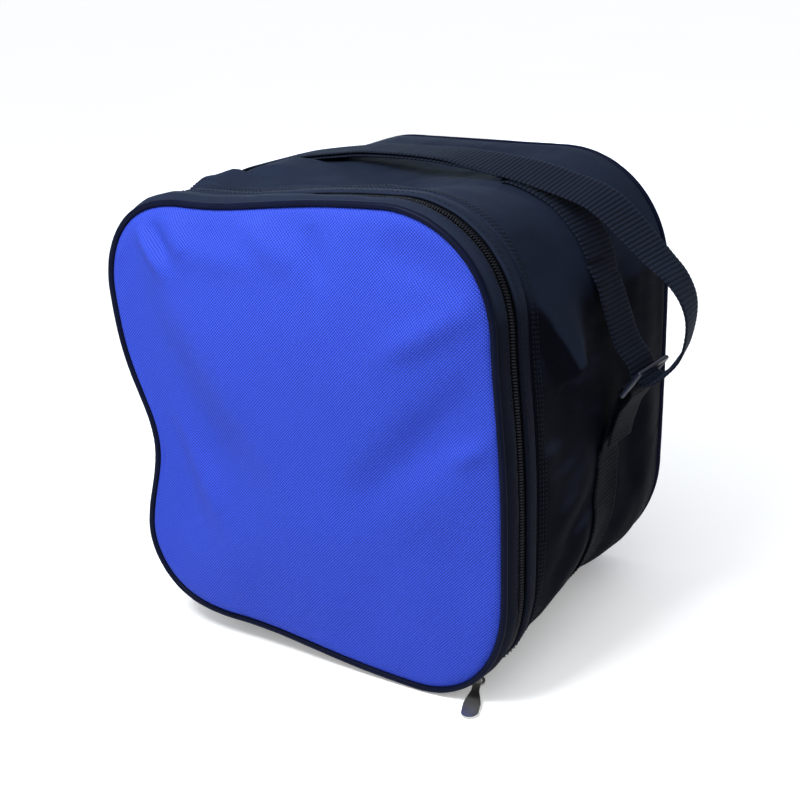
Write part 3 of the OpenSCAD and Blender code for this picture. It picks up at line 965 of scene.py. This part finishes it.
def body_folds(s, y):
    """Soft folds of the black body, outwards in millimetres."""
    d = creases(s, y, BODY_FOLDS) + shelf(s, y)
    d += -4.0 * bump(s, side_s(250), 22) * bump(y, 78, 34)
    # the top rises to the strap on the left
    d += 7.5 * bump(s, top_s(-93), 13) * ease((y - 39) / 9) * fall(y, 69, 74)
    d += 6.0 * bump(s, top_s(-84), 26) * ease((y - 72) / 14) * fall(y, 103, 115)
    d += 1.5 * noise2(s / 52 + 2, y / 40 + 7) + 0.7 * noise2(s / 22 + 9, y / 17 + 1)
    d += 0.35 * noise2(s / 9 + 4, y / 30 + 3)
    return d


def body_point(u, y, inset, folds):
    """Points of the body cloth at (u, y), and their distance along the outline."""
    u, y = np.broadcast_arrays(np.asarray(u, float), np.asarray(y, float))
    s = arc_length(u)
    hold = ease((y - 39) / 10) * fall(y, 212, 223)
    p, n = outline(u, y, inset)
    rest = ease((p[..., 2] - 4) / 25)
    # the cloth dives into the seam beside the band and beside the back piping
    dive = -1.4 * bump(y, 38.2, 1.6) - 1.6 * bump(y, 223, 2.4)
    puff = 1.2 * (1 - np.exp(-np.abs(y - SEAM_Y) / 9)) * (1 - np.exp(-np.abs(BACK_SEAM_Y - y) / 9))
    d = dive + puff + folds * hold * body_folds(s, y)
    p = p + n * (d * rest)[..., None]
    p[..., 2] = np.maximum(p[..., 2], 0.0)
    return p, s


def body_grid(u, ys, inset, folds=1.0):
    """Points of the body cloth at every u and every depth, and their place in the weave."""
    p, s = body_point(u[:, None], ys[None, :], inset, folds)
    return p, np.stack(np.broadcast_arrays(s, ys[None, :]), -1) / 1000


ys = np.concatenate([np.linspace(38.2, 52, 12), np.linspace(54, 212, 80), np.linspace(213.5, 223.4, 9)])
u_body = even_u(u_at("br", 0), u_at("bl", 90), 2.6)
shell_out, shell_uv = body_grid(u_body, ys, 0.4)
shell_in, _ = body_grid(u_body, ys, 2.9)
body_shell = slab_object("body_shell", shell_out, shell_in, shell_uv)
finish_piece(body_shell, BODY, BAG, ["body_gusset"])

# stitched edge just behind the seam: three staggered rows of short stitches
rows = []
for k, y in enumerate((40.6, 43.4, 46.2)):
    u = even_u(u_at("br", 12), u_at("bl", 78), 1.0)
    pts, _ = body_point(u, y, 0.4, 1.0)
    _, nrm = outline(u, y)
    rows.append(stitch_row(pts[k * 2:], nrm[k * 2:], 1.5, 1.3, 0.36))
finish_piece(beads_object("seam_stitches", *join_rows(rows)), THREAD, BAG)

# bottom cloth, between the lower corners
u_low = np.concatenate([np.linspace(8, 9, 24)[:-1], np.linspace(0, 1, 24)])
low_out, _ = body_grid(u_low, ys, 0.3, 0.0)
lift = 0.25 + 0.25 * noise2(low_out[..., 0] / 25, low_out[..., 1] / 25)
low_out[..., 2] = np.maximum(low_out[..., 2] - 0.3, 0)
low_in = low_out.copy()
low_in[..., 2] += 2.4 + 0.3 * lift
bottom = slab_object("bottom_cloth", low_out, low_in, low_out[..., :2] / 1000)
finish_piece(bottom, BODY, BAG, ["bottom_panel"])

# strip under the front that the front folds down on
hinge_u = np.concatenate([even_u(u_at("bl", 90 - 38), 9, 2.4)[:-1], even_u(0, u_at("br", 38), 2.4)])
hinge_ys = np.linspace(3.4, 38.4, 30)


def hinge_grid(inset):
    """Points of the hinge strip, kept just above the floor."""
    uu, yy = np.meshgrid(hinge_u, hinge_ys, indexing="ij")
    s = arc_length(hinge_u)[:, None] + 0 * yy
    p, n = outline(uu, yy, inset)
    d = 0.35 * noise2(s / 18, yy / 9) - 0.5 * np.exp(-((yy - 3.4) / 1.2) ** 2) - 0.3
    p = p + n * d[..., None]
    p[..., 2] = np.maximum(p[..., 2], 0.05)
    return p


hinge_out, hinge_in = hinge_grid(0.0), hinge_grid(1.4)
hinge_in[..., 2] = np.maximum(hinge_in[..., 2], hinge_out[..., 2] + 0.3)
hinge = slab_object("hinge_cloth", hinge_out, hinge_in, hinge_out[..., :2] / 1000)
finish_piece(hinge, HEM, None, ["hinge_strip"])
tuple(place([0, 3.0, 2.0]))
tuple(place([0, 15.0, 2.0]))
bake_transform(hinge)


BACK_FOLDS = [(-1.5, (-110, 40), (-40, 90), 14), (-1.3, (100, 240), (50, 180), 15),
              (1.2, (90, 50), (30, 100), 14)]


def back_shape(x, z, t):
    """The back: slightly domed, with a few soft creases."""
    dome = 5.0 * (1 - t ** 2.4) ** 0.85
    lip, fade = at_rim(t)
    waves = 1.3 * noise2(x / 50 + 11, z / 44 + 2) + 0.5 * noise2(x / 20 + 8, z / 18 + 5)
    return dome + lip + fade * (waves + creases(x, z, BACK_FOLDS))


panel_object("back_cover", DEPTH - 1.6, PIPING - 0.4, 1.5, 60, 3.0, back_shape, BODY, BAG,
             ["back_panel"], 1)
panel_object("back_inner_cloth", 223.2, PIPING + 1.0, 0.6, 20, 5.0,
             lambda x, z, t: 0.4 * noise2(x / 30 + 4, z / 26) * (1 - t), LINING, BAG,
             ["back_lining"], 1)

# lining of the body
lin_ys = np.linspace(39, 222, 40)
u_lin = even_u(u_at("br", 0), u_at("bl", 90), 5.0)
lin_out, lin_uv = body_grid(u_lin, lin_ys, 3.3)
lin_in, _ = body_grid(u_lin, lin_ys, 3.9)
lin_out[..., 2] = np.maximum(lin_out[..., 2], 2.8)
lin_in[..., 2] = np.maximum(lin_in[..., 2], 3.4)
lining = slab_object("body_inner_cloth", lin_out, lin_in, lin_uv)
finish_piece(lining, LINING, BAG, ["body_lining"])

# base board with rounded corners
lo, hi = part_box("base_board")


def plan_uv(grid):
    """Texture places seen from above, for a grid whose sections are closed rings."""
    uv = np.concatenate([grid, grid[:, :1]], 1)
    return uv[..., :2] / 1000


def board_ring(z, grow):
    """The board's outline at height z, grown or shrunk."""
    w, d = (hi.x - lo.x) * 500 + grow, (hi.y - lo.y) * 500 + grow
    cy = ((lo.y + hi.y) / 2 - Y_FRONT) * 1000
    a = full_turn(96)
    r = 9.0
    cx = np.sign(np.cos(a)) * (w - r) + r * np.cos(a)
    cyy = np.sign(np.sin(a)) * (d - r) + r * np.sin(a)
    return np.stack([cx, cy + cyy, np.full(len(a), z)], -1)


z0, z1 = lo.z * 1000, hi.z * 1000
board_grid = np.stack([board_ring(z, grow) for z, grow in (
    (z0, -14), (z0, -0.4), (z0 + 0.4, 0), (z1 - 0.4, 0), (z1, -0.4), (z1, -14))])
board = tube_object("base_plate", board_grid, plan_uv(board_grid))
finish_piece(board, BOARD, BAG, ["base_board"])

# foam cup that the ball stands in
cup_lo, cup_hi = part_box("ball_cup")
cup_y = ((cup_lo.y + cup_hi.y) / 2 - Y_FRONT) * 1000
cup_r = (cup_hi.x - cup_lo.x) * 500
cup_z0, cup_z1 = cup_lo.z * 1000, cup_hi.z * 1000
# radius of the hollow seat for the ball, height of its centre, and radius of the hole
seat_r, seat_at, hole_r = 109.0, cup_z0 + 118.4, 27.0


def seat_z(r):
    """Height of the hollow seat at radius r."""
    return seat_at - np.sqrt(seat_r ** 2 - r ** 2)


# half section of the cup as (radius, height): outer wall, rim, seat, hole
section = [(cup_r - 2, cup_z0), (cup_r - 0.6, cup_z0 + 0.6), (cup_r, cup_z0 + 2)]
for t in np.linspace(0.1, 1, 8):
    section.append((cup_r + 0.35 * math.sin(math.pi * t), cup_z0 + 2 + (cup_z1 - cup_z0 - 5) * t))
rim = seat_z(cup_r - 4.0)
section += [(cup_r - 0.5, min(cup_z1 - 1.2, rim + 0.6)), (cup_r - 1.6, min(cup_z1 - 0.4, rim + 0.9)),
            (cup_r - 3.0, rim + 0.3)]
section += [(r, seat_z(r)) for r in np.linspace(cup_r - 5, hole_r + 1.5, 14)]
section += [(hole_r + 0.4, seat_z(hole_r) - 0.5), (hole_r, seat_z(hole_r) - 1.6),
            (hole_r, cup_z0 + 1), (hole_r + 0.6, cup_z0)]
radius, height = np.array(section).T
ang = full_turn(128)[:, None]
cup_grid = np.stack(np.broadcast_arrays(radius * np.cos(ang), cup_y + radius * np.sin(ang), height), -1)
cup_uv = plan_uv(cup_grid)
cup = tube_object("foam_cup", cup_grid, np.concatenate([cup_uv, cup_uv[:1]]), wrap_u=True)
finish_piece(cup, FOAM, BAG, ["ball_cup"])

# ---------- webbing ----------


def curve_through(points, step=0.55):
    """Smooth curve through points, resampled at even steps of its first two numbers,
    and the distance along it."""
    p = np.array(points, float)
    dense = []
    for i in range(len(p) - 1):
        a, b, c, d = p[max(i - 1, 0)], p[i], p[i + 1], p[min(i + 2, len(p) - 1)]
        t = np.linspace(0, 1, 24, endpoint=False)[:, None]
        dense.append(0.5 * (2 * b + (c - a) * t + (2 * a - 5 * b + 4 * c - d) * t ** 2
                            + (3 * b - a - 3 * c + d) * t ** 3))
    dense = np.concatenate(dense + [p[-1:]])
    s = running(np.linalg.norm(np.diff(dense[:, :2], axis=0), axis=1))
    n = max(4, int(s[-1] / step))
    q = np.linspace(0, s[-1], n)
    return rows_at(q, s, dense), q


def web_section():
    """Half cross section across the width: (place across, share of half thickness)."""
    w = WEB_W / 2
    return [(-w, 0.0), (-w + 0.5, 0.62), (-w + 1.6, 0.9), (-w + 4, 1.0), (-w * 0.4, 1.0), (0, 1.0),
            (w * 0.4, 1.0), (w - 4, 1.0), (w - 1.6, 0.9), (w - 0.5, 0.62), (w, 0.0)]


def web_object(name, path, lean=None):
    """Ribbed webbing along a path in the xz plane. A third number in a point is the
    webbing's roll there in radians; the fourth and fifth are the place on the body's
    outline that it lies on, and 1 if it lies there. lean(z) moves it back."""
    curve, s = curve_through([list(p) + [0.0] * (5 - len(p)) for p in path])
    pts = curve[:, :2]
    roll, u, held = curve.T[2:]
    t = unit(np.gradient(pts, axis=0))
    n = np.stack([-t[:, 1], t[:, 0]], -1)
    ribs = np.abs(np.sin(math.pi * s / RIB))
    rib_height, rib_reach = 0.2, 0.3
    half = THICK / 2 - 0.1 + rib_height * ribs
    top_half = web_section()
    ring = top_half + [(a, -b) for a, b in top_half[-2:0:-1]]
    shift = 0.0 if lean is None else lean(pts[:, 1])
    here = body_at(u, WEB_Y)
    grid = []
    for a, b in ring:
        wide = a * (1 + rib_reach * ribs / (WEB_W / 2))
        y = WEB_Y + (wide * np.cos(roll) - b * half * np.sin(roll)) + shift
        drape = held * ((body_at(u, y) - here)[:, [0, 2]] * n).sum(1)
        off = b * half * np.cos(roll) + wide * np.sin(roll) + drape
        grid.append(np.stack([pts[:, 0] + n[:, 0] * off, y, pts[:, 1] + n[:, 1] * off], -1))
    across = np.array([a for a, _ in ring] + [ring[0][0]]) / 1000
    uv = np.stack(np.meshgrid(np.append(s, s[-1]) / 1000, across, indexing="ij"), -1)
    return tube_object(name, np.stack(grid, 1), uv)


def join(name, objs):
    """Several objects as one."""
    bpy.ops.object.select_all(action="DESELECT")
    for o in objs:
        o.select_set(True)
    bpy.context.view_layer.objects.active = objs[0]
    bpy.ops.object.join()
    objs[0].name = name
    return objs[0]


def body_at(u, y):
    """Points of the visible body."""
    return body_point(u, y, 0.4, 1.0)[0]


def body_surface(u, out):
    """Points of the visible body under the webbing, out millimetres off it."""
    u = np.asarray(u, float)
    _, n = outline(u, WEB_Y)
    return body_at(u, WEB_Y) + n * out


def lying(u, out):
    """Path points for webbing that lies on the body at u."""
    return [[p[0], p[2], 0.0, v, 1.0] for p, v in zip(body_surface(u, out), u)]


u_side = np.linspace(u_at("br", 14), 2.30, 16)
# up to the ring, round its low bar and down again
turn = [[139.0, 134], [141.6, 143], [144.6, 151], [148.0, 158.6], [149.9, 163.5], [151.4, 166.2],
        [154.3, 166.6], [156.6, 164.6], [156.4, 161.2], [153, 156], [148.2, 149.5], [144.6, 141],
        [141.8, 133], [140.4, 126]]


def web_lean(z):
    """The webbing leans back where it leaves the body for its ring, and at the floor."""
    return 5.0 * bump(z, 134, 24) + 12.0 * ease((56 - z) / 54)


def mirrored(points):
    """Path points on the other side of the bag."""
    return [[-p[0], p[1]] for p in points]


def side_path(mirror):
    """The side webbing: up the body, then round the ring."""
    if mirror:
        return lying(9 - u_side, 1.1) + mirrored(turn)
    return lying(u_side, 1.1) + turn


for side in ("right", "left"):
    web = web_object("side_web_" + side, side_path(side == "left"), web_lean)
    finish_piece(web, SIDE_WEBBING, BAG, ["side_webbing_" + side])

# the carrying strap: outer and inner layer on the right, from the middle of the top
outer_right = [[0, 295.5, 0], [28, 295, 0.05], [47, 292.9, 0.12], [67, 290.3, 0.18], [86, 287.2, 0.2],
               [105, 282.6, 0.2], [126, 276.5, 0.2], [139.3, 268.5, 0.18], [154.5, 254.8, 0.12],
               [168, 242.4, 0.05], [178.5, 233, -0.04], [186, 221, -0.14], [188, 207.8, -0.22],
               [184.5, 191, -0.24], [177, 179.5, -0.16], [170, 172.2, -0.06], [163.6, 169.6, 0],
               [158.8, 173, 0]]
u_in = np.linspace(3.22, 3.86, 15)
inner_right = [[155.6, 180.5], [147.4, 191.3], [142.0, 206]] + lying(u_in, 1.3) + [
    [66, 287.4], [52, 289.5], [36, 291.3], [18, 292.8], [0, 293.3]]

# the slide on the left, its direction down the strap and its outward direction
slide_at = np.array([-160.5, 249.0])
slide_t = np.array([-11.5, -12.5]) / np.hypot(11.5, 12.5)
slide_n = np.array([slide_t[1], -slide_t[0]])


def on_slide(a, b):
    """A path point a along the slide and b outwards from its middle."""
    return (slide_at + a * slide_t + b * slide_n).tolist()


outer_left = mirrored(outer_right[:8]) + [on_slide(a, b) for a, b in (
    (-17, -2.4), (-11.5, -2.4), (-4.8, 4.6), (4.8, 4.6), (11.5, -2.4), (16, -2.4))]
left_turn = [on_slide(16, -2.4)] + mirrored(
    [[179.6, 222], [182.3, 207], [179.4, 191], [174.6, 179.5], [169.4, 172.2], [163.4, 169.4],
     [157.0, 172.8], [155.6, 180.2], [161.6, 186.4], [170.2, 188.0], [176.2, 194.4], [179.6, 207],
     [177.6, 216]])
inner_left = mirrored([[0, 293.3], [28, 292.7], [47, 290.7], [67, 288.1], [87, 285.0], [105.4, 280.6],
                       [125, 274.0], [138.2, 266.1]]) + [on_slide(-14, -4.5), on_slide(-6, -4.5)]
wrap = [on_slide(a, b) for a, b in (
    (-6.2, -4.5), (-3.2, -4.2), (-2.7, -2), (-2.7, 1.2), (-1.4, 2.4), (1.4, 2.4), (2.7, 1.2),
    (2.7, -4.4), (1, -6.4), (-12, -6.4), (-20, -6.2))]
parts = [web_object("strap_%d" % i, path) for i, path in enumerate(
    [outer_right + inner_right, outer_left, left_turn, inner_left, wrap])]
strap = join("carry_strap", parts)
finish_piece(strap, WEBBING, None, ["handle_strap"])
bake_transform(strap)

# ---------- stitches on the side webbing ----------


def web_stitches(name, mirror):
    """Two rows of stitches that hold the side webbing to the body, below its ring."""
    curve, _ = curve_through([p[:2] + [p[3] if len(p) > 2 else 0.0] for p in side_path(mirror)])
    # heights of the ends of the rows, and their distance from the webbing's edges
    low, high, edge = 12, 104, 2.2
    z = curve[:, 1]
    x, z, u = curve[(z < high) & (z > low) & (np.arange(len(z)) < len(z) * 0.6)].T
    t = unit(np.gradient(np.stack([x, z], -1), axis=0)) * (-1 if mirror else 1)
    n = np.stack([t[:, 1], 0 * x, -t[:, 0]], -1)
    rows = []
    for dy in (-WEB_W / 2 + edge, WEB_W / 2 - edge):
        y = WEB_Y + dy + web_lean(z)
        drape = ((body_at(u, y) - body_at(u, WEB_Y)) * n).sum(1)
        p = np.stack([x, y, z], -1) + n * (THICK / 2 + drape)[:, None]
        rows.append(stitch_row(p, n, 2.6, 1.1, 0.3))
    finish_piece(beads_object(name, *join_rows(rows)), THREAD, BAG)


web_stitches("side_web_stitches_right", False)
web_stitches("side_web_stitches_left", True)

# ---------- CAD pieces that stay, with finished materials ----------


def dress(node, material, bevel=0.0):
    """Gives a CAD node its finished material, and softens its edges."""
    obj = frame["nodes"][node]
    if obj.material_slots:
        for s in obj.material_slots:
            s.material = material
    else:
        obj.data.materials.append(material)
    if bevel:
        mod = obj.modifiers.new("soft edges", "BEVEL")
        mod.width = bevel
        mod.segments = 2
        mod.limit_method = "ANGLE"
        mod.angle_limit = math.radians(35)


for node in ("zip_slider", "zip_pull"):
    dress(node, NICKEL, 0.00025)
dress("zip_bottom_stop", NICKEL, 0.0002)
for node in ("ring_right", "ring_left"):
    dress(node, RING)
dress("strap_slide", SLIDE, 0.0004)

# ---------- floor, light and world ----------

REACH = 40
floor_mesh = bpy.data.meshes.new("floor")
floor_mesh.from_pydata([(-REACH, -REACH, 0), (REACH, -REACH, 0), (REACH, REACH, 0), (-REACH, REACH, 0)],
                       [], [(0, 1, 2, 3)])
floor = linked("floor", floor_mesh)
floor.location.z = -0.0003
fm = Nodes("floor_paint")
fm.set(Base_Color=fm.mix(fm.noise(3, 2, 0.5), (0.90, 0.90, 0.90), (0.93, 0.93, 0.93)), Roughness=0.8,
       Specular_IOR_Level=0.1, Emission_Color=(1, 1, 1), Emission_Strength=0.26)
floor_mesh.materials.append(fm.material)


def area_light(name, at, aim, size, power, colour=(1, 1, 1)):
    """A soft box at one point that looks at another."""
    data = bpy.data.lights.new(name, "AREA")
    data.shape = "RECTANGLE"
    data.size, data.size_y = size
    data.energy = power
    data.color = colour
    light = linked(name, data)
    light.location = at
    light.visible_camera = False
    light.rotation_euler = (Vector(aim) - Vector(at)).to_track_quat("-Z", "Y").to_euler()


area_light("top_box", (-0.05, -0.42, 0.68), (0, -0.08, 0.2), (0.30, 0.30), 7.4, (0.95, 0.98, 1.0))
area_light("front_box", (-1.3, -1.9, 1.1), (0, 0, 0.12), (1.2, 1.2), 5)
area_light("back_box", (-0.9, 1.6, 0.5), (0, 0.05, 0.15), (1.4, 0.9), 9, (0.6, 0.78, 1.0))
sun = bpy.data.lights.new("sky_panel", "SUN")
sun.energy = 1.55
sun.angle = math.radians(70)
sun_object = linked("sky_panel", sun)
sun_object.rotation_euler = Vector((-0.30, 0.40, -1.0)).to_track_quat("-Z", "Y").to_euler()
world = bpy.data.worlds.new("studio")
world.use_nodes = True
background = world.node_tree.nodes["Background"]
background.inputs["Color"].default_value = (0.93, 0.96, 1.0, 1)
background.inputs["Strength"].default_value = 0.38
bpy.context.scene.world = world
bpy.context.scene.view_settings.view_transform = "Standard"
